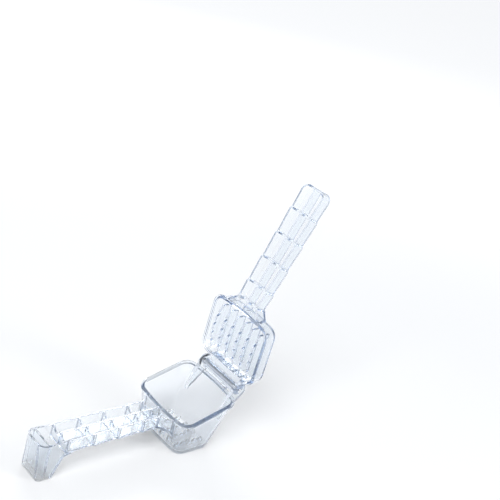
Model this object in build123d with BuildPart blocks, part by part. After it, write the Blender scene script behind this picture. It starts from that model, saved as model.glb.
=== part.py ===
from build123d import *
import math
import os

# A hand-squeezed ice crusher in clear plastic, standing open on its cup and on the foot of its
# lower grip. Millimetres and degrees. The origin is the middle of the cup's base, +Z is up and
# +X runs from the grips towards the hinge.

# ---- stance
HINGE_HEIGHT = 66.0  # hinge axis above the table
RIM_TILT = 16.0  # how steeply the cup's rim climbs towards the hinge
OPEN_ANGLE = 107.0  # between the cup's rim and the presser's, resting on the stop
GRIP_BEND = 20.0  # the upper grip leans this far back from the presser
CLOSED_GAP = 0.7  # left between the two rims when the crusher is shut

# ---- the outline that both rims share
RIM_WIDTH = 90.0
RIM_LENGTH = 76.0
RIM_START = 9.6  # hinge axis to the rim, along the middle
RIM_CROWN = 3.6  # the ends bulge this far past the corners
RIM_CORNER = 13.0
WALL = 2.6
LIP_WIDTH = 1.2
LIP_HEIGHT = 3.2
LIP_ROUND = 0.8

# ---- cup
BASE_LENGTH = 50.0
BASE_WIDTH = 74.0
BASE_CROWN = 2.0
BASE_CORNER = 11.0
BASE_SETBACK = 26.0  # hinge axis to the base, along the table
BASE_ROUND = 2.0
FLOOR = 3.0

# ---- presser tray
TRAY_DEPTH = 18.0
TRAY_DRAFT = 4.0
TRAY_ROUND = 4.0

# ---- toothed ridges
RIDGE_COUNT = 6
RIDGE_PITCH = 13.0
RIDGE_WIDTH = 2.6
RIDGE_HINGE_GAP = 8.0  # from the tray's hinge-side end to the ridges
RIDGE_GRIP_GAP = 13.0  # from the tray's grip-side end to the ridges
RIDGE_SET_IN = 3.5  # crest below the tray's rim at a ridge's two ends
RIDGE_REACH = 3.0  # crest past the tray's rim half way along
TOOTH_COUNT = 5
TOOTH_HEIGHT = 2.6
TOOTH_NOTCH = 4.6
FLOOR_RIDGE_COUNT = 5
FLOOR_RIDGE_LENGTH = 36.0
FLOOR_RIDGE_HEIGHT = 5.0

# ---- hinge
PIN_DIAMETER = 5.0
PIN_CLEARANCE = 0.05  # radial, in the presser's barrel
PIN_HEAD_DIAMETER = 9.0
PIN_HEAD_HEIGHT = 2.2
PIN_HEAD_ROUND = 1.5
PIN_TAIL = 1.2  # how far the pin's plain end stands out of its ear
PIN_CHAMFER = 0.6
BARREL_DIAMETER = 13.0
EAR_DIAMETER = 18.0
EAR_THICKNESS = 5.0
EAR_DROP = 34.0  # the ears' roots run this far down the cup, below the hinge axis
HINGE_SPAN = 64.0  # outer face to outer face of the ears
END_PLAY = 0.4
WEB_HEIGHT = 13.0
HEEL_REACH = 12.5  # hinge axis to the tip of the stop heel
HEEL_THICKNESS = 2.6
HEEL_WIDTH = 34.0
STOP_GAP = 0.3

# ---- grips
SEGMENT_COUNT = 5
SEGMENT_LENGTH = 31.0
FIRST_SEGMENT = 21.0  # the segment next to the neck is shorter
SEGMENT_NARROW = 31.0
SEGMENT_WIDE = 34.0
SEGMENT_STEP = 2.0  # length of the step back from wide to narrow
SEGMENT_RADIUS = 3.0  # softens both corners of a step
NECK_LENGTH = 12.0
NECK_WIDTH = 54.0
NECK_RADIUS = 8.0
GRIP_DEPTH = 15.0
GRIP_ROUND = 2.2  # rounds the skin's edge
GRIP_END_RADIUS = 9.0
SKIN = 2.4
RIB = 2.2
LONG_RIB_COUNT = 1
SCALLOP_RADIUS = 5.2  # hollows the free edge of each cross rib, lane by lane
GUSSET_DROP = 29.0  # the lower grip's root runs this far down the cup
GUSSET_RADIUS = 12.0
ROOT_BITE = 0.6  # how far the root's curve dips into the cup's wall
FOOT_LENGTH = 18.0
FOOT_TOP_LENGTH = 31.0
FOOT_DRAFT = 1.5
FOOT_RADIUS = 3.0
FOOT_WALL_GAP = 7.0  # between the foot's two back walls

# ---- worked out
HINGE_X = BASE_SETBACK + BASE_LENGTH / 2
RIM_END = RIM_START + RIM_LENGTH
SEGMENT_ENDS = [NECK_LENGTH + FIRST_SEGMENT + index * SEGMENT_LENGTH for index in range(SEGMENT_COUNT)]
SEGMENT_STARTS = [NECK_LENGTH, *SEGMENT_ENDS[:-1]]
GRIP_LENGTH = SEGMENT_ENDS[-1]
FOOT_START = GRIP_LENGTH - FOOT_TOP_LENGTH
LANE_PITCH = (SEGMENT_NARROW - RIB) / (LONG_RIB_COUNT + 1)  # lanes lie between the long ribs
GRIP_TOP = HINGE_HEIGHT - RIM_END * math.sin(math.radians(RIM_TILT))
PRESSER_LIFT = OPEN_ANGLE - RIM_TILT
BARREL_LENGTH = HINGE_SPAN - 2 * (EAR_THICKNESS + END_PLAY)
OVERLAP = 8.0  # how far a grip runs on into the wall that carries it, before it is trimmed
NEAR = 0.01  # tolerance when corners are picked by their place


def heading(lift):
    """Unit vector along an arm that is lifted from level, with the grips towards -X."""
    return Vector(-math.cos(math.radians(lift)), 0, math.sin(math.radians(lift)))


def arm_plane(lift, origin=Vector(HINGE_X, 0, HINGE_HEIGHT)):
    """Plane of an arm: x runs along it from the hinge and z is its outer side."""
    return Plane(origin=origin, x_dir=heading(lift), z_dir=heading(lift + 90))


def side_plane(arm, across=0.0):
    """Lengthwise upright plane of an arm: x runs along it and y is the arm's z."""
    return Plane(origin=arm.origin + arm.y_dir * across, x_dir=arm.x_dir, z_dir=-arm.y_dir)


def cross_plane(arm, along):
    """Plane square to an arm: x runs across it and y is the arm's z."""
    return Plane(origin=arm.origin + arm.x_dir * along, x_dir=arm.y_dir, z_dir=arm.x_dir)


cup_rim = arm_plane(-RIM_TILT)
presser = arm_plane(PRESSER_LIFT)
tray_rim = presser.offset(CLOSED_GAP)
table = Plane(origin=(HINGE_X, 0, 0), x_dir=(-1, 0, 0), z_dir=(0, 0, 1))
# A grip's plane starts at the end of its rim, and its z runs from the open side to the skin.
lower_start = cup_rim.from_local_coords(Vector(RIM_END, 0, 0))
lower_grip = Plane(origin=lower_start, x_dir=(-1, 0, 0), z_dir=(0, 0, -1))
upper_grip = arm_plane(PRESSER_LIFT + GRIP_BEND, tray_rim.from_local_coords(Vector(RIM_END, 0, 0)))


def tub_outline(start, length, width, crown, corner):
    """Outline of a rim or base: straight sides, and ends that bulge in the middle."""
    end = start + length
    half = width / 2
    with BuildSketch() as outline:
        with BuildLine():
            ThreePointArc((start + crown, -half), (start, 0), (start + crown, half))
            Line((start + crown, half), (end - crown, half))
            ThreePointArc((end - crown, half), (end, 0), (end - crown, -half))
            Line((end - crown, -half), (start + crown, -half))
        make_face()
        fillet(outline.vertices(), radius=corner)
    return outline.sketch


def inset(outline, amount):
    """An outline moved in by an amount, or out by a negative one."""
    with BuildSketch() as moved:
        add(outline)
        offset(amount=-amount, kind=Kind.ARC)
    return moved.sketch


rim_outline = tub_outline(RIM_START, RIM_LENGTH, RIM_WIDTH, RIM_CROWN, RIM_CORNER)
base_outline = tub_outline(BASE_SETBACK, BASE_LENGTH, BASE_WIDTH, BASE_CROWN, BASE_CORNER)


def grip_outline():
    """A grip from its open side: a flared neck, then segments that widen and step back."""
    edge = [(-OVERLAP, NECK_WIDTH / 2), (0, NECK_WIDTH / 2)]
    for start, end in zip(SEGMENT_STARTS, SEGMENT_ENDS):
        edge.append((start, SEGMENT_NARROW / 2))
        edge.append((end - SEGMENT_STEP, SEGMENT_WIDE / 2))
    edge[-1] = (GRIP_LENGTH, SEGMENT_WIDE / 2)
    with BuildSketch() as outline:
        with BuildLine():
            Polyline(*edge, *[(x, -y) for x, y in reversed(edge)], close=True)
        make_face()
        fillet(outline.vertices().group_by(Axis.X)[-1], radius=GRIP_END_RADIUS)
        neck_end = outline.vertices().filter_by_position(Axis.X, NECK_LENGTH - NEAR, NECK_LENGTH + NEAR)
        fillet(neck_end, radius=NECK_RADIUS)
        first_step = SEGMENT_ENDS[0] - SEGMENT_STEP - NEAR
        steps = outline.vertices().filter_by_position(Axis.X, first_step, SEGMENT_ENDS[-2] + NEAR)
        fillet(steps, radius=SEGMENT_RADIUS)
    return outline.sketch


def grip_pockets(outline):
    """What is open between a grip's side walls, long ribs and cross ribs."""
    with BuildSketch() as pockets:
        add(inset(outline, RIB))
        for across in spread(LONG_RIB_COUNT, LANE_PITCH):
            with Locations((GRIP_LENGTH / 2, across)):
                Rectangle(GRIP_LENGTH + 4 * OVERLAP, RIB, mode=Mode.SUBTRACT)
        for start in SEGMENT_STARTS:
            with Locations((start - RIB / 2, 0)):
                Rectangle(RIB, NECK_WIDTH, mode=Mode.SUBTRACT)
    return pockets.sketch


def scallops():
    """Section of the round hollows that run along a grip's lanes and notch its cross ribs."""
    with BuildSketch() as hollows:
        with Locations(*[(across, 0) for across in spread(LONG_RIB_COUNT + 1, LANE_PITCH)]):
            Circle(SCALLOP_RADIUS)
    return hollows.sketch


def foot_pockets(outline):
    """What is open inside the hollow foot, seen from above: a box and a slot behind it."""
    inner_end = GRIP_LENGTH - RIB
    with BuildSketch() as pockets:
        add(inset(outline, RIB))
        with Locations((FOOT_START, 0)):
            Rectangle(FOOT_TOP_LENGTH, NECK_WIDTH, align=(Align.MIN, Align.CENTER), mode=Mode.INTERSECT)
        with Locations((inner_end - FOOT_WALL_GAP - RIB / 2, 0)):
            Rectangle(RIB, NECK_WIDTH, mode=Mode.SUBTRACT)
    return pockets.sketch


def skin_pocket(profile, start):
    """Side view of what is open inside a grip: its profile less the skin, open on top."""
    with BuildSketch() as pocket:
        add(inset(profile, SKIN))
        with Locations((start, -1)):
            Rectangle(GRIP_LENGTH - SKIN - start, SKIN + 2, align=(Align.MIN, Align.MIN))
    return pocket.sketch


def on_skin(profile):
    """Corners of a grip's side view that lie on its skin, from the root outwards."""
    corners = profile.vertices().filter_by_position(Axis.Y, GRIP_DEPTH - NEAR, GRIP_DEPTH + NEAR)
    return corners.sort_by(Axis.X)


def root_and_end(profile):
    """Side view of what a grip adds to its plain bar: the root and, where it has one, the foot."""
    with BuildSketch() as ends:
        add(profile)
        skin_line = on_skin(ends)
        with Locations((skin_line[0].X, 0)):
            Rectangle(
                skin_line[-1].X - skin_line[0].X,
                GRIP_DEPTH,
                align=(Align.MIN, Align.MIN),
                mode=Mode.SUBTRACT,
            )
    return ends.sketch


def lower_profile():
    """Lower grip from the side: level grip, hollow foot at its end, root curved into the cup."""
    base_end = HINGE_X - (BASE_SETBACK + BASE_LENGTH) - lower_grip.origin.X
    lean = -base_end / GRIP_TOP
    foot_back = GRIP_LENGTH - FOOT_DRAFT
    with BuildSketch() as profile:
        with BuildLine():
            Polyline(
                (-OVERLAP, 0),
                (GRIP_LENGTH, 0),
                (foot_back, GRIP_TOP),
                (foot_back - FOOT_LENGTH, GRIP_TOP),
                (FOOT_START, GRIP_DEPTH),
                (lean * GRIP_DEPTH - ROOT_BITE, GRIP_DEPTH),
                (lean * GUSSET_DROP - ROOT_BITE, GUSSET_DROP),
                (lean * GUSSET_DROP - OVERLAP, GUSSET_DROP),
                close=True,
            )
        make_face()
        fillet(profile.vertices().group_by(Axis.Y)[-1], radius=FOOT_RADIUS)
        fillet(on_skin(profile), radius=GUSSET_RADIUS)
    return profile.sketch


def upper_profile():
    """Upper grip from the side: it leans back from the tray and meets the tray's back."""
    bend = math.radians(GRIP_BEND)
    back = TRAY_DEPTH - TRAY_ROUND
    with BuildSketch() as profile:
        with BuildLine():
            Polyline(
                (-OVERLAP * math.cos(bend), OVERLAP * math.sin(bend)),
                (0, 0),
                (GRIP_LENGTH, 0),
                (GRIP_LENGTH, GRIP_DEPTH),
                (NECK_LENGTH, GRIP_DEPTH),
                (
                    back * math.sin(bend) - OVERLAP * math.cos(bend),
                    back * math.cos(bend) + OVERLAP * math.sin(bend),
                ),
                close=True,
            )
        make_face()
    return profile.sketch


def ridge_profile(start, end, root, end_height, middle_height):
    """A ridge from the side: its crest bows from one end to the other and is cut into teeth."""
    pitch = (end - start) / TOOTH_COUNT
    rise = 1 if middle_height > root else -1

    def crest(along):
        away = (2 * (along - start) / (end - start) - 1) ** 2
        return middle_height + (end_height - middle_height) * away

    points = [(start, root), (start, crest(start))]
    for index in range(TOOTH_COUNT - 1):
        valley = start + (index + 1) * pitch
        points.append((valley - TOOTH_NOTCH / 2, crest(valley - TOOTH_NOTCH / 2)))
        points.append((valley, crest(valley) - rise * TOOTH_HEIGHT))
        points.append((valley + TOOTH_NOTCH / 2, crest(valley + TOOTH_NOTCH / 2)))
    points += [(end, crest(end)), (end, root)]
    with BuildSketch() as profile:
        with BuildLine():
            Polyline(*points, close=True)
        make_face()
    return profile.sketch


def spread(count, pitch):
    """Places across the crusher of a set of ridges, ribs or lanes."""
    return [pitch * (index - (count - 1) / 2) for index in range(count)]


def ear_root():
    """Side outline of an ear's root: from the pin, down to the cup's wall and up under its rim."""
    radius = EAR_DIAMETER / 2
    low = HINGE_HEIGHT - EAR_DROP
    rim_x = RIM_START * math.cos(math.radians(RIM_TILT))
    rim_y = HINGE_HEIGHT - RIM_START * math.sin(math.radians(RIM_TILT))
    wall = BASE_SETBACK + (rim_x - BASE_SETBACK) * low / rim_y + WALL / 2
    towards = math.atan2(low - HINGE_HEIGHT, wall)
    tangent = towards - math.acos(radius / math.hypot(wall, low - HINGE_HEIGHT))
    tilt = math.radians(-RIM_TILT)
    far = RIM_START + RIM_CROWN + WALL / 2
    return [
        (0, HINGE_HEIGHT),
        (radius * math.cos(tangent), HINGE_HEIGHT + radius * math.sin(tangent)),
        (wall, low),
        (far * math.cos(tilt), HINGE_HEIGHT + far * math.sin(tilt)),
    ]


def web_points():
    """Side outline of the web between the hinge barrel and the tray, tangent to the barrel."""
    radius = BARREL_DIAMETER / 2
    reach = RIM_START + WALL
    towards = math.atan2(WEB_HEIGHT, reach)
    tangent = towards + math.acos(radius / math.hypot(reach, WEB_HEIGHT))
    return [
        (0, CLOSED_GAP),
        (reach, CLOSED_GAP),
        (reach, WEB_HEIGHT),
        (radius * math.cos(tangent), radius * math.sin(tangent)),
    ]


# ---- what is hollow inside the two grips
with BuildPart() as lower_pockets:
    with BuildSketch(side_plane(lower_grip)):
        add(skin_pocket(lower_profile(), -OVERLAP))
    extrude(amount=NECK_WIDTH / 2, both=True)
    with BuildSketch(lower_grip):
        add(grip_pockets(grip_outline()))
        with Locations((FOOT_START, 0)):
            Rectangle(FOOT_TOP_LENGTH, NECK_WIDTH, align=(Align.MIN, Align.CENTER), mode=Mode.SUBTRACT)
        add(foot_pockets(grip_outline()))
    extrude(amount=GRIP_TOP + OVERLAP, both=True, mode=Mode.INTERSECT)

with BuildPart() as upper_pockets:
    with BuildSketch(side_plane(upper_grip)):
        add(skin_pocket(upper_profile(), 0))
    extrude(amount=NECK_WIDTH / 2, both=True)
    with BuildSketch(upper_grip):
        add(grip_pockets(grip_outline()))
    extrude(amount=GRIP_DEPTH + OVERLAP, both=True, mode=Mode.INTERSECT)

# ---- the grips' plain bars, rounded along the skin, and the roots and foot that join them
with BuildPart() as lower_bar:
    with BuildSketch(lower_grip):
        add(grip_outline())
    extrude(amount=GRIP_DEPTH)
    fillet(lower_bar.faces().sort_by(Axis.Z)[0].edges(), radius=GRIP_ROUND)

with BuildPart() as lower_ends:
    with BuildSketch(side_plane(lower_grip)):
        add(root_and_end(lower_profile()))
    extrude(amount=NECK_WIDTH / 2, both=True)
    with BuildSketch(lower_grip):
        add(grip_outline())
    extrude(amount=GRIP_TOP + OVERLAP, both=True, mode=Mode.INTERSECT)

with BuildPart() as upper_bar:
    with BuildSketch(upper_grip):
        add(grip_outline())
    extrude(amount=GRIP_DEPTH)
    fillet(
        upper_bar.faces().sort_by(Axis(upper_grip.origin, upper_grip.z_dir))[-1].edges(),
        radius=GRIP_ROUND,
    )
    split(bisect_by=tray_rim)

with BuildPart() as upper_root:
    with BuildSketch(side_plane(upper_grip)):
        add(root_and_end(upper_profile()))
    extrude(amount=NECK_WIDTH / 2, both=True)
    with BuildSketch(upper_grip):
        add(grip_outline())
    extrude(amount=TRAY_DEPTH + OVERLAP, both=True, mode=Mode.INTERSECT)

# ---- the round-edged lips of both rims, still filled in
with BuildPart() as cup_lip:
    with BuildSketch(cup_rim):
        add(inset(rim_outline, -LIP_WIDTH))
    extrude(amount=-LIP_HEIGHT)
    fillet(cup_lip.faces().sort_by(Axis(cup_rim.origin, cup_rim.z_dir))[0].edges(), radius=LIP_ROUND)
    fillet(cup_lip.faces().sort_by(Axis(cup_rim.origin, cup_rim.z_dir))[-1].edges(), radius=LIP_ROUND)

tray_axis = Axis(tray_rim.origin, tray_rim.z_dir)

with BuildPart() as tray_lip:
    with BuildSketch(tray_rim):
        add(inset(rim_outline, -LIP_WIDTH))
    extrude(amount=LIP_HEIGHT)
    fillet(tray_lip.faces().sort_by(tray_axis)[0].edges(), radius=LIP_ROUND)
    fillet(tray_lip.faces().sort_by(tray_axis)[-1].edges(), radius=LIP_ROUND)

# ---- the cup's and the tray's plain shapes, outside and inside
with BuildPart() as cup_outside:
    with BuildSketch(table):
        add(base_outline)
    with BuildSketch(cup_rim):
        add(rim_outline)
    loft(ruled=True)
    fillet(cup_outside.faces().sort_by(Axis.Z)[0].edges(), radius=BASE_ROUND)
    add(cup_lip.part)

with BuildPart() as cup_inside:
    with BuildSketch(table.offset(FLOOR)):
        add(inset(base_outline, WALL))
    with BuildSketch(cup_rim):
        add(inset(rim_outline, WALL))
    loft(ruled=True)
    fillet(cup_inside.faces().sort_by(Axis.Z)[0].edges(), radius=BASE_ROUND)

with BuildPart() as tray_outside:
    with BuildSketch(tray_rim):
        add(rim_outline)
    extrude(amount=TRAY_DEPTH, taper=TRAY_DRAFT)
    fillet(tray_outside.faces().sort_by(tray_axis)[-1].edges(), radius=TRAY_ROUND)
    add(tray_lip.part)

with BuildPart() as tray_inside:
    with BuildSketch(tray_rim):
        add(inset(rim_outline, WALL))
    extrude(amount=TRAY_DEPTH - WALL, taper=TRAY_DRAFT)
    fillet(tray_inside.faces().sort_by(tray_axis)[-1].edges(), radius=TRAY_ROUND - WALL / 2)

# ---- cup, lower grip and foot: one moulding
with BuildPart() as cup_arm:
    add(lower_bar.part)
    add(lower_ends.part)
    add(lower_pockets.part, mode=Mode.SUBTRACT)
    with BuildSketch(cross_plane(lower_grip, NECK_LENGTH / 2)):
        add(scallops())
    extrude(amount=FOOT_START - NECK_LENGTH / 2, mode=Mode.SUBTRACT)

    add(cup_outside.part)

    # ears, each a disc round the pin with a root that runs down the cup's wall
    for side in (-1, 1):
        with BuildSketch(side_plane(table, side * (HINGE_SPAN - EAR_THICKNESS) / 2)):
            with Locations((0, HINGE_HEIGHT)):
                Circle(EAR_DIAMETER / 2)
            with BuildLine():
                Polyline(*ear_root(), close=True)
            make_face()
        extrude(amount=EAR_THICKNESS / 2, both=True)

    add(cup_inside.part, mode=Mode.SUBTRACT)
    with BuildSketch(side_plane(table)):
        with Locations((0, HINGE_HEIGHT)):
            Circle(PIN_DIAMETER / 2)
    extrude(amount=HINGE_SPAN, both=True, mode=Mode.SUBTRACT)

    for across in spread(FLOOR_RIDGE_COUNT, RIDGE_PITCH):
        middle = BASE_SETBACK + BASE_LENGTH / 2
        crest = FLOOR + FLOOR_RIDGE_HEIGHT
        with BuildSketch(side_plane(table, across)):
            add(
                ridge_profile(
                    middle - FLOOR_RIDGE_LENGTH / 2,
                    middle + FLOOR_RIDGE_LENGTH / 2,
                    FLOOR / 2,
                    crest,
                    crest,
                )
            )
        extrude(amount=RIDGE_WIDTH / 2, both=True)

# ---- presser and upper grip: one moulding
round_along = RIM_START - LIP_WIDTH + LIP_ROUND  # middle of the round on the lip's lower edge
round_down = LIP_HEIGHT - LIP_ROUND
heel_lead = math.atan2(-round_down, round_along)
heel_back = math.asin((HEEL_THICKNESS / 2 + STOP_GAP + LIP_ROUND) / math.hypot(round_along, round_down))
HEEL_ANGLE = math.degrees(heel_lead - heel_back) - OPEN_ANGLE

with BuildPart() as presser_arm:
    add(upper_bar.part)
    add(upper_root.part)
    add(upper_pockets.part, mode=Mode.SUBTRACT)
    with BuildSketch(cross_plane(upper_grip, NECK_LENGTH / 2)):
        add(scallops())
    extrude(amount=GRIP_LENGTH - SEGMENT_LENGTH / 2, mode=Mode.SUBTRACT)

    add(tray_outside.part)

    # hinge barrel, the web that joins it to the tray, and the heel that stops the swing
    with BuildSketch(side_plane(presser)):
        Circle(BARREL_DIAMETER / 2)
        with BuildLine():
            Polyline(*web_points(), close=True)
        make_face()
    extrude(amount=BARREL_LENGTH / 2, both=True)
    with BuildSketch(side_plane(presser)):
        with Locations(Location((0, 0, 0), (0, 0, HEEL_ANGLE))):
            Rectangle(HEEL_REACH, HEEL_THICKNESS, align=(Align.MIN, Align.CENTER))
    extrude(amount=HEEL_WIDTH / 2, both=True)

    add(tray_inside.part, mode=Mode.SUBTRACT)
    with BuildSketch(side_plane(presser)):
        Circle(PIN_DIAMETER / 2 + PIN_CLEARANCE)
    extrude(amount=HINGE_SPAN, both=True, mode=Mode.SUBTRACT)

    for across in spread(RIDGE_COUNT, RIDGE_PITCH):
        with BuildSketch(side_plane(tray_rim, across)):
            add(
                ridge_profile(
                    RIM_START + RIDGE_HINGE_GAP,
                    RIM_END - RIDGE_GRIP_GAP,
                    TRAY_DEPTH - WALL / 2,
                    RIDGE_SET_IN,
                    -RIDGE_REACH,
                )
            )
        extrude(amount=RIDGE_WIDTH / 2, both=True)

# ---- hinge pin: a headed steel rod through the ears and the barrel
head_face = side_plane(cup_rim, -HINGE_SPAN / 2)

with BuildPart() as hinge_pin:
    with BuildSketch(head_face):
        Circle(PIN_HEAD_DIAMETER / 2)
    extrude(amount=PIN_HEAD_HEIGHT)
    fillet(hinge_pin.faces().sort_by(Axis.Y)[-1].edges(), radius=PIN_HEAD_ROUND)
    with BuildSketch(head_face):
        Circle(PIN_DIAMETER / 2)
    extrude(amount=-HINGE_SPAN - PIN_TAIL)
    chamfer(hinge_pin.faces().sort_by(Axis.Y)[0].edges(), length=PIN_CHAMFER)

cup_arm.part.label = "cup_arm"
presser_arm.part.label = "presser_arm"
hinge_pin.part.label = "hinge_pin"
os.makedirs("parts", exist_ok=True)
export_step(cup_arm.part, "parts/cup_arm.step")
export_step(presser_arm.part, "parts/presser_arm.step")
export_step(hinge_pin.part, "parts/hinge_pin.step")
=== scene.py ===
import logging
import math
from dataclasses import dataclass
from enum import Enum

import bpy
from mathutils import Matrix, Vector

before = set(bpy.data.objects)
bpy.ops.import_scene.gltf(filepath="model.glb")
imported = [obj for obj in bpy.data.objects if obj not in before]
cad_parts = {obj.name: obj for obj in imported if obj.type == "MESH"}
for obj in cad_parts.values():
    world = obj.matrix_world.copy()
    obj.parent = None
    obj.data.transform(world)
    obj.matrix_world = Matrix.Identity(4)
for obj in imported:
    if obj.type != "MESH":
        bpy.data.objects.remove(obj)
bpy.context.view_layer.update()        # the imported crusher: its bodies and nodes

IMAGE_PIXELS = 500
SENSOR = 36.0  # millimetres
MM = 0.001
LIGHT_BOUNCES = 48  # enough for light that is caught in a wall of clear plastic

Colour = tuple[float, float, float, float]
Place = tuple[float, float, float]
Range = tuple[float, float]
Socket = bpy.types.NodeSocket

log = logging.getLogger("ice_crusher")


class Node(Enum):
    """The crusher's three CAD nodes."""

    CUP_ARM = "cup_arm"
    PRESSER_ARM = "presser_arm"
    HINGE_PIN = "hinge_pin"


class ShaderTree:
    """A shader node tree that is written one node at a time."""

    def __init__(self, tree: bpy.types.NodeTree) -> None:
        """Start from an empty tree.

        Args:
            tree: The node tree of a material, a world or a node group.
        """
        self.tree = tree
        self.tree.nodes.clear()

    def add(
        self, kind: str, inputs: dict[str, object] | None = None, **settings: object
    ) -> bpy.types.Node:
        """Add a node.

        Args:
            kind: The node's type.
            inputs: A socket or a plain value for each named input.
            **settings: The node's own settings, such as its operation.

        Returns:
            The new node.
        """
        node = self.tree.nodes.new(kind)
        for name, value in settings.items():
            setattr(node, name, value)
        for name, value in (inputs or {}).items():
            self.feed(value, node.inputs[name])
        return node

    def feed(self, value: object, target: Socket) -> None:
        """Link a socket to an input, or set the input to a plain value."""
        if isinstance(value, bpy.types.NodeSocket):
            self.tree.links.new(value, target)
        else:
            target.default_value = value

    def math(self, operation: str, *values: object) -> Socket:
        """Add a Math node.

        Args:
            operation: The node's operation.
            *values: A socket or a number for each of its inputs.

        Returns:
            The result.
        """
        node = self.add("ShaderNodeMath", operation=operation)
        for value, target in zip(values, node.inputs):
            self.feed(value, target)
        return node.outputs[0]

    def remap(self, value: Socket, source: Range, target: Range) -> Socket:
        """Map one range smoothly to another and hold it at both ends.

        Args:
            value: What is mapped.
            source: Low and high end of the range that is read.
            target: What these two become.

        Returns:
            The mapped value.
        """
        node = self.add("ShaderNodeMapRange", {"Value": value}, interpolation_type="SMOOTHSTEP")
        node.inputs["From Min"].default_value, node.inputs["From Max"].default_value = source
        node.inputs["To Min"].default_value, node.inputs["To Max"].default_value = target
        return node.outputs["Result"]

    def mix_colour(self, factor: Socket, first: object, second: object) -> Socket:
        """Mix two colours.

        Args:
            factor: How much of the second colour shows.
            first: A socket or a colour.
            second: A socket or a colour.

        Returns:
            The mixed colour.
        """
        node = self.add("ShaderNodeMix", {"Factor": factor}, data_type="RGBA")
        colours = [socket for socket in node.inputs if socket.type == "RGBA"]
        for value, target in zip((first, second), colours):
            self.feed(value, target)
        return next(socket for socket in node.outputs if socket.type == "RGBA")

    def noise(self, vector: Socket, scale: object, detail: float, distortion: float = 0.0) -> Socket:
        """Add a Noise Texture.

        Args:
            vector: Where the noise is read.
            scale: A socket or a number.
            detail: How many finer layers it has.
            distortion: How far the pattern is bent.

        Returns:
            The noise, 0 to 1.
        """
        inputs = {"Vector": vector, "Scale": scale, "Detail": detail, "Distortion": distortion}
        return self.add("ShaderNodeTexNoise", inputs).outputs["Fac"]

    def distance(self, vector: Socket, centre: object) -> Socket:
        """Measure how far a vector lies from a centre, which is a socket or a place."""
        node = self.add("ShaderNodeVectorMath", operation="DISTANCE")
        self.feed(vector, node.inputs[0])
        self.feed(centre, node.inputs[1])
        return node.outputs["Value"]

    def stretch(self, vector: Socket, scale: Place, turn: Place = (0.0, 0.0, 0.0)) -> Socket:
        """Turn and scale a vector with a Mapping node."""
        inputs = {"Vector": vector, "Rotation": turn, "Scale": scale}
        return self.add("ShaderNodeMapping", inputs).outputs[0]


class GroupBuilder(ShaderTree):
    """A node group for an effect that more than one finish uses."""

    def __init__(self, name: str, inputs: dict[str, str], outputs: tuple[str, ...]) -> None:
        """Make an empty group.

        Args:
            name: The group's name.
            inputs: Socket type of each input.
            outputs: Name of each output, all plain numbers.
        """
        super().__init__(bpy.data.node_groups.new(name, "ShaderNodeTree"))
        for label, kind in inputs.items():
            self.tree.interface.new_socket(label, in_out="INPUT", socket_type=kind)
        for label in outputs:
            self.tree.interface.new_socket(label, in_out="OUTPUT", socket_type="NodeSocketFloat")
        self.given = {socket.name: socket for socket in self.add("NodeGroupInput").outputs}
        self.result = {socket.name: socket for socket in self.add("NodeGroupOutput").inputs}

    def put(self, name: str, value: Socket) -> None:
        """Link a value to one of the group's outputs."""
        self.feed(value, self.result[name])


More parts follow.
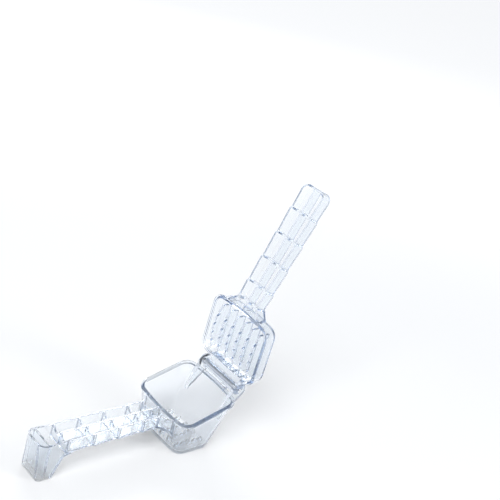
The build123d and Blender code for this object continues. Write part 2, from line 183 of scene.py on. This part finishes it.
class SurfaceEffects:
    """The node groups that the plastic and the steel share, each built once."""

    scratch_runs: tuple[Range, ...] = ((0.5, 0.04), (-0.9, 0.06), (1.7, 0.05))  # turn and thinness
    scratch_tilt: float = 0.6  # turn about the second axis, as a share of the turn
    scratch_grain: Range = (0.62, 0.74)
    worn_patch: Range = (0.42, 0.72)
    flow_bend: float = 0.6
    tone_share: float = 0.4  # the tone's scale, as a share of the waves'
    rub_edge: Range = (0.6, 1.1)  # in radii
    ring_edge: Range = (0.2, 1.0)  # in line widths

    def __init__(self) -> None:
        """Build the groups."""
        self.scuffs = self.make_scuffs()
        self.mould_flow = self.make_mould_flow()
        self.rub_zone = self.make_rub_zone()
        self.ejector_ring = self.make_ejector_ring()

    def make_scuffs(self) -> bpy.types.NodeTree:
        """Fine crossing scratches, in patches where the surface is rubbed.

        Returns:
            A group that gives a mask.
        """
        kinds = {"Vector": "NodeSocketVector", "Line Scale": "NodeSocketFloat"}
        kinds |= {"Patch Scale": "NodeSocketFloat", "Wear": "NodeSocketFloat"}
        group = GroupBuilder("scuffs", kinds, ("Mask",))
        lines = []
        for turn, thin in self.scratch_runs:
            tilt = (turn, turn * self.scratch_tilt, turn)
            along = group.stretch(group.given["Vector"], (1.0, thin, 1.0), tilt)
            grain = group.noise(along, group.given["Line Scale"], 2.0)
            lines.append(group.remap(grain, self.scratch_grain, (0.0, 1.0)))
        crossing = group.math("MAXIMUM", group.math("MAXIMUM", lines[0], lines[1]), lines[2])
        patches = group.noise(group.given["Vector"], group.given["Patch Scale"], 3.0)
        worn = group.math("ADD", patches, group.given["Wear"])
        where = group.remap(worn, self.worn_patch, (0.0, 1.0))
        group.put("Mask", group.math("MULTIPLY", crossing, where))
        return group.tree

    def make_mould_flow(self) -> bpy.types.NodeTree:
        """Slow waves that a moulding keeps from how the plastic filled the mould.

        Returns:
            A group that gives a height and a tone.
        """
        kinds = {"Vector": "NodeSocketVector", "Wave Scale": "NodeSocketFloat"}
        group = GroupBuilder("mould_flow", kinds, ("Height", "Tone"))
        scale = group.given["Wave Scale"]
        group.put("Height", group.noise(group.given["Vector"], scale, 1.0, self.flow_bend))
        slow = group.math("MULTIPLY", scale, self.tone_share)
        group.put("Tone", group.noise(group.given["Vector"], slow, 4.0))
        return group.tree

    def make_rub_zone(self) -> bpy.types.NodeTree:
        """A soft-edged ball in which ice or hands rub the surface.

        Returns:
            A group that gives a mask.
        """
        kinds = {"Vector": "NodeSocketVector", "Centre": "NodeSocketVector"}
        kinds |= {"Radius": "NodeSocketFloat"}
        group = GroupBuilder("rub_zone", kinds, ("Mask",))
        away = group.distance(group.given["Vector"], group.given["Centre"])
        share = group.math("DIVIDE", away, group.given["Radius"])
        group.put("Mask", group.remap(share, self.rub_edge, (1.0, 0.0)))
        return group.tree

    def make_ejector_ring(self) -> bpy.types.NodeTree:
        """The fine ring that a mould's ejector pin leaves.

        Returns:
            A group that gives a height.
        """
        kinds = {"Vector": "NodeSocketVector", "Centre": "NodeSocketVector"}
        kinds |= {"Radius": "NodeSocketFloat", "Line": "NodeSocketFloat"}
        group = GroupBuilder("ejector_ring", kinds, ("Height",))
        away = group.distance(group.given["Vector"], group.given["Centre"])
        off = group.math("ABSOLUTE", group.math("SUBTRACT", away, group.given["Radius"]))
        share = group.math("DIVIDE", off, group.given["Line"])
        group.put("Height", group.remap(share, self.ring_edge, (1.0, 0.0)))
        return group.tree


class Finish:
    """What every finish shares: an empty material and its effect groups."""

    def __init__(self, name: str, effects: SurfaceEffects) -> None:
        """Make an empty material.

        Args:
            name: The material's name.
            effects: The shared effects.
        """
        self.material = bpy.data.materials.new(name)
        self.material.use_nodes = True
        self.tree = ShaderTree(self.material.node_tree)
        self.effects = effects
        self.place = self.tree.add("ShaderNodeTexCoord").outputs["Object"]

    def effect(self, group: bpy.types.NodeTree, values: dict[str, object]) -> bpy.types.Node:
        """Place a shared effect in the material, read at Object coordinates.

        Args:
            group: One of the shared effects.
            values: A socket or a plain value for each of its other inputs.

        Returns:
            The group's node.
        """
        node = self.tree.add("ShaderNodeGroup", node_tree=group)
        for name, value in ({"Vector": self.place} | values).items():
            self.tree.feed(value, node.inputs[name])
        return node


@dataclass(frozen=True)
class ClearPlastic:
    """Clear moulded polycarbonate, faintly blue where it is thick."""

    name: str
    rubbed: tuple[tuple[Place, float], ...] = ()
    rings: tuple[Place, ...] = ()
    light_tint: Colour = (0.975, 0.985, 0.995, 1.0)
    deep_tint: Colour = (0.93, 0.955, 0.98, 1.0)
    ior: float = 1.585
    body_colour: Colour = (0.44, 0.56, 0.73, 1.0)
    body_density: float = 20.0  # per metre of plastic
    smooth: float = 0.012
    scuffed: float = 0.13
    rub_share: float = 0.2  # how much a rubbed zone adds to the wear
    wave_scale: float = 26.0  # waves per metre
    wave_height: float = 0.18 * MM
    scuff_scale: float = 900.0
    patch_scale: float = 45.0
    scuff_depth: float = 0.02 * MM
    ring_radius: float = 3.5 * MM
    ring_line: float = 0.35 * MM
    ring_height: float = 0.05 * MM
    edge_radius: float = 0.4 * MM
    edge_samples: int = 6

    def wear(self, finish: Finish) -> object:
        """Where ice and hands rub the moulding.

        Args:
            finish: The material that is being written.

        Returns:
            A mask, or 0 where nothing rubs.
        """
        worn: object = 0.0
        for centre, radius in self.rubbed:
            zone = finish.effect(finish.effects.rub_zone, {"Centre": centre, "Radius": radius})
            worn = finish.tree.math("MAXIMUM", worn, zone.outputs["Mask"])
        return finish.tree.math("MULTIPLY", worn, self.rub_share)

    def normal(self, finish: Finish, flow: Socket, scuffs: Socket) -> Socket:
        """Round the edges, then add the waves, the scuffs and the rings.

        Args:
            finish: The material that is being written.
            flow: Height of the mould's flow waves.
            scuffs: Mask of the scratches.

        Returns:
            The surface normal.
        """
        tree = finish.tree
        edges = tree.add("ShaderNodeBevel", {"Radius": self.edge_radius}, samples=self.edge_samples)
        normal = edges.outputs["Normal"]
        layers = [(flow, self.wave_height, False), (scuffs, self.scuff_depth, True)]
        for centre in self.rings:
            values = {"Centre": centre, "Radius": self.ring_radius, "Line": self.ring_line}
            ring = finish.effect(finish.effects.ejector_ring, values)
            layers.append((ring.outputs["Height"], self.ring_height, False))
        for height, depth, cut in layers:
            inputs = {"Height": height, "Distance": depth, "Normal": normal}
            normal = tree.add("ShaderNodeBump", inputs, invert=cut).outputs["Normal"]
        return normal

    def build(self, effects: SurfaceEffects) -> bpy.types.Material:
        """Make the material.

        Args:
            effects: The shared effects.

        Returns:
            The material.
        """
        finish = Finish(self.name, effects)
        tree = finish.tree
        flow = finish.effect(effects.mould_flow, {"Wave Scale": self.wave_scale})
        lines = {"Line Scale": self.scuff_scale, "Patch Scale": self.patch_scale}
        lines["Wear"] = self.wear(finish)
        scuffs = finish.effect(effects.scuffs, lines).outputs["Mask"]
        shader = tree.add(
            "ShaderNodeBsdfPrincipled",
            {
                "Base Color": tree.mix_colour(flow.outputs["Tone"], self.light_tint, self.deep_tint),
                "Metallic": 0.0,
                "Roughness": tree.remap(scuffs, (0.0, 1.0), (self.smooth, self.scuffed)),
                "IOR": self.ior,
                "Transmission Weight": 1.0,
                "Normal": self.normal(finish, flow.outputs["Height"], scuffs),
            },
        )
        thickness = {"Color": self.body_colour, "Density": self.body_density}
        body = tree.add("ShaderNodeVolumeAbsorption", thickness)
        shown = {"Surface": shader.outputs["BSDF"], "Volume": body.outputs["Volume"]}
        tree.add("ShaderNodeOutputMaterial", shown)
        return finish.material


@dataclass(frozen=True)
class DrawnSteel:
    """Polished stainless rod, with the fine lines of drawing along it."""

    name: str = "drawn_steel"
    bright: Colour = (0.86, 0.87, 0.89, 1.0)
    dark: Colour = (0.68, 0.69, 0.71, 1.0)
    line_scale: float = 1800.0
    line_stretch: float = 0.03
    smooth: float = 0.12
    rough: float = 0.30
    line_range: Range = (0.2, 1.0)
    wear: float = 0.05
    line_depth: float = 0.006 * MM
    scuff_scale: float = 1200.0
    patch_scale: float = 160.0

    def build(self, effects: SurfaceEffects) -> bpy.types.Material:
        """Make the material.

        Args:
            effects: The shared effects.

        Returns:
            The material.
        """
        finish = Finish(self.name, effects)
        tree = finish.tree
        along = tree.stretch(finish.place, (1.0, self.line_stretch, 1.0))
        lines = tree.noise(along, self.line_scale, 3.0)
        values = {"Line Scale": self.scuff_scale, "Patch Scale": self.patch_scale, "Wear": self.wear}
        scuffs = finish.effect(effects.scuffs, values).outputs["Mask"]
        worn = tree.math("MAXIMUM", lines, scuffs)
        bump = tree.add("ShaderNodeBump", {"Height": lines, "Distance": self.line_depth})
        shader = tree.add(
            "ShaderNodeBsdfPrincipled",
            {
                "Base Color": tree.mix_colour(lines, self.bright, self.dark),
                "Metallic": 1.0,
                "Roughness": tree.remap(worn, self.line_range, (self.smooth, self.rough)),
                "Normal": bump.outputs["Normal"],
            },
        )
        tree.add("ShaderNodeOutputMaterial", {"Surface": shader.outputs["BSDF"]})
        return finish.material


class DressedNode:
    """A CAD node that is shown as it is, in its own finish."""

    node: Node

    def finish(self, effects: SurfaceEffects) -> bpy.types.Material:
        """Make the node's material."""
        raise NotImplementedError

    def dress(self, effects: SurfaceEffects) -> bpy.types.Object:
        """Put the finish on each of the node's material slots.

        Args:
            effects: The shared effects.

        Returns:
            The node's object.
        """
        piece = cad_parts[self.node.value]
        material = self.finish(effects)
        for slot in piece.material_slots:
            slot.material = material
        return piece


@dataclass(frozen=True)
class CupSide(DressedNode):
    """The cup, its lower grip and its foot: one clear moulding."""

    node: Node = Node.CUP_ARM
    ice_centre: Place = (0.0, 0.0, 0.012)
    ice_radius: float = 42.0 * MM
    palm_centre: Place = (-0.10, 0.0, 0.04)
    palm_radius: float = 60.0 * MM
    base_rings: tuple[Place, ...] = ((0.0, 0.024, 0.0), (0.0, -0.024, 0.0))

    def finish(self, effects: SurfaceEffects) -> bpy.types.Material:
        """Make the cup's plastic, rubbed by ice inside and by the hand outside."""
        rubbed = ((self.ice_centre, self.ice_radius), (self.palm_centre, self.palm_radius))
        return ClearPlastic("cup_plastic", rubbed, self.base_rings).build(effects)


@dataclass(frozen=True)
class PresserSide(DressedNode):
    """The toothed tray, its barrel and its upper grip: one clear moulding."""

    node: Node = Node.PRESSER_ARM
    teeth_centre: Place = (0.046, 0.0, 0.112)
    teeth_radius: float = 40.0 * MM
    fingers_centre: Place = (0.085, 0.0, 0.24)
    fingers_radius: float = 50.0 * MM
    tray_rings: tuple[Place, ...] = ((0.069, 0.0, 0.0965), (0.069, 0.0, 0.1285))

    def finish(self, effects: SurfaceEffects) -> bpy.types.Material:
        """Make the presser's plastic, rubbed by ice at its teeth and by fingers on its grip."""
        rubbed = ((self.teeth_centre, self.teeth_radius), (self.fingers_centre, self.fingers_radius))
        return ClearPlastic("presser_plastic", rubbed, self.tray_rings).build(effects)


@dataclass(frozen=True)
class HingePin(DressedNode):
    """The steel rod through the ears and the barrel."""

    node: Node = Node.HINGE_PIN

    def finish(self, effects: SurfaceEffects) -> bpy.types.Material:
        """Make the pin's steel."""
        return DrawnSteel().build(effects)


@dataclass(frozen=True)
class PictureCamera:
    """A camera at the photograph's viewing angle."""

    place: Place = (-0.6933, -0.6613, 0.6795)
    azimuth: float = -47.83
    elevation: float = 24.53
    roll: float = 16.62
    focal_pixels: float = 1025.0
    clip: Range = (0.01, 60.0)

    def build(self) -> bpy.types.Object:
        """Make the camera and hand it to the scene.

        Returns:
            The camera.
        """
        lens = bpy.data.cameras.new("picture_camera")
        lens.sensor_width = SENSOR
        lens.lens = self.focal_pixels * SENSOR / IMAGE_PIXELS
        lens.clip_start, lens.clip_end = self.clip
        camera = bpy.data.objects.new("picture_camera", lens)
        bpy.context.scene.collection.objects.link(camera)
        turn = Matrix.Rotation(math.radians(self.azimuth), 4, "Z")
        tilt = Matrix.Rotation(math.radians(90 - self.elevation), 4, "X")
        roll = Matrix.Rotation(math.radians(self.roll), 4, "Z")
        camera.matrix_world = Matrix.Translation(self.place) @ turn @ tilt @ roll
        bpy.context.scene.camera = camera
        return camera


@dataclass(frozen=True)
class SoftBox:
    """A rectangular lamp, turned towards the crusher."""

    name: str
    place: Place
    size: Range
    watts: float
    aim: Place = (0.0, 0.0, 0.1)

    def build(self) -> bpy.types.Object:
        """Make the lamp.

        Returns:
            The lamp.
        """
        light = bpy.data.lights.new(self.name, "AREA")
        light.shape = "RECTANGLE"
        light.size, light.size_y = self.size
        light.energy = self.watts
        lamp = bpy.data.objects.new(self.name, light)
        bpy.context.scene.collection.objects.link(lamp)
        towards = Vector(self.aim) - Vector(self.place)
        turn = towards.to_track_quat("-Z", "Y").to_matrix().to_4x4()
        lamp.matrix_world = Matrix.Translation(self.place) @ turn
        return lamp


@dataclass(frozen=True)
class Studio:
    """A plain pale floor in a pale room, with soft lamps."""

    floor_radius: float = 14.0
    floor_sides: int = 96
    floor_colour: Colour = (0.78, 0.785, 0.79, 1.0)
    floor_grain: float = 3.0
    floor_roughness: Range = (0.85, 0.95)
    floor_gloss: float = 0.1
    near_glow: float = 0.20
    far_glow: float = 0.60
    glow_reach: Range = (0.5, 1.8)  # metres from the crusher
    room_colour: Colour = (0.97, 0.985, 1.0, 1.0)
    ceiling_colour: Colour = (0.84, 0.90, 1.0, 1.0)
    room_level: float = 1.0
    ceiling_level: float = 0.40
    wall_level: float = 0.35
    ceiling_rise: Range = (0.08, 0.70)  # these three are parts of a direction one unit long
    wall_turn: Range = (0.55, 0.85)
    wall_foot: Range = (0.04, 0.14)
    lamps: tuple[SoftBox, ...] = (
        SoftBox("key_box", (-1.1, -0.5, 1.5), (0.9, 0.9), 20.0),
        SoftBox("side_box", (0.9, -1.2, 0.9), (0.4, 1.2), 8.0),
        SoftBox("back_box", (0.7, 1.3, 1.0), (1.2, 0.4), 9.0),
    )

    def shown(self, tree: ShaderTree) -> Socket:
        """Mask of the rays that show a background: seen straight, in gloss or through plastic."""
        path = tree.add("ShaderNodeLightPath")
        direct = tree.math("MAXIMUM", path.outputs["Is Camera Ray"], path.outputs["Is Glossy Ray"])
        return tree.math("MAXIMUM", direct, path.outputs["Is Transmission Ray"])

    def floor(self) -> bpy.types.Object:
        """Make the floor.

        Returns:
            The floor.
        """
        bpy.ops.object.select_all(action="DESELECT")
        bpy.ops.mesh.primitive_circle_add(
            vertices=self.floor_sides, radius=self.floor_radius, fill_type="NGON"
        )
        floor = bpy.context.object
        floor.name = "studio_floor"
        material = bpy.data.materials.new("studio_floor")
        material.use_nodes = True
        tree = ShaderTree(material.node_tree)
        place = tree.add("ShaderNodeTexCoord").outputs["Object"]
        grain = tree.noise(place, self.floor_grain, 2.0)
        matt = tree.add(
            "ShaderNodeBsdfPrincipled",
            {
                "Base Color": self.floor_colour,
                "Roughness": tree.remap(grain, (0.0, 1.0), self.floor_roughness),
                "Specular IOR Level": self.floor_gloss,
            },
        )
        away = tree.distance(place, (0.0, 0.0, 0.0))
        paler = tree.remap(away, self.glow_reach, (self.near_glow, self.far_glow))
        level = tree.math("MULTIPLY", self.shown(tree), paler)
        glow = tree.add("ShaderNodeEmission", {"Strength": level})
        both = tree.add("ShaderNodeAddShader")
        tree.feed(matt.outputs["BSDF"], both.inputs[0])
        tree.feed(glow.outputs["Emission"], both.inputs[1])
        tree.add("ShaderNodeOutputMaterial", {"Surface": both.outputs["Shader"]})
        floor.data.materials.append(material)
        return floor

    def room(self) -> bpy.types.World:
        """Make the world: white at the horizon, dimmer overhead and to the two sides.

        Returns:
            The world.
        """
        world = bpy.data.worlds.new("studio_room")
        world.use_nodes = True
        tree = ShaderTree(world.node_tree)
        direction = tree.add("ShaderNodeTexCoord").outputs["Generated"]
        axes = tree.add("ShaderNodeSeparateXYZ", {"Vector": direction})
        height = axes.outputs["Z"]
        up = tree.remap(height, self.ceiling_rise, (self.room_level, self.ceiling_level))
        aside = tree.remap(tree.math("ABSOLUTE", axes.outputs["Y"]), self.wall_turn, (0.0, 1.0))
        raised = tree.remap(height, self.wall_foot, (0.0, 1.0))
        walls = tree.remap(tree.math("MULTIPLY", aside, raised), (0.0, 1.0), (1.0, self.wall_level))
        level = tree.math("MULTIPLY", up, walls)
        colour = tree.mix_colour(level, self.ceiling_colour, self.room_colour)
        sky = tree.add("ShaderNodeBackground", {"Color": colour, "Strength": level})
        tree.add("ShaderNodeOutputWorld", {"Surface": sky.outputs["Background"]})
        bpy.context.scene.world = world
        return world

    def build(self) -> None:
        """Set the room, the floor and the lamps."""
        self.room()
        self.floor()
        for lamp in self.lamps:
            lamp.build()


def main() -> None:
    """Build the camera and the studio, and dress each piece."""
    logging.basicConfig(level=logging.INFO, format="%(message)s")
    scene = bpy.context.scene
    scene.view_settings.view_transform = "Standard"
    scene.cycles.max_bounces = LIGHT_BOUNCES
    scene.cycles.glossy_bounces = LIGHT_BOUNCES
    scene.cycles.transmission_bounces = LIGHT_BOUNCES
    PictureCamera().build()
    Studio().build()
    effects = SurfaceEffects()
    for piece in (CupSide(), PresserSide(), HingePin()):
        dressed = piece.dress(effects)
        log.info("dressed %s", dressed.name)


if __name__ == "__main__":
    main()
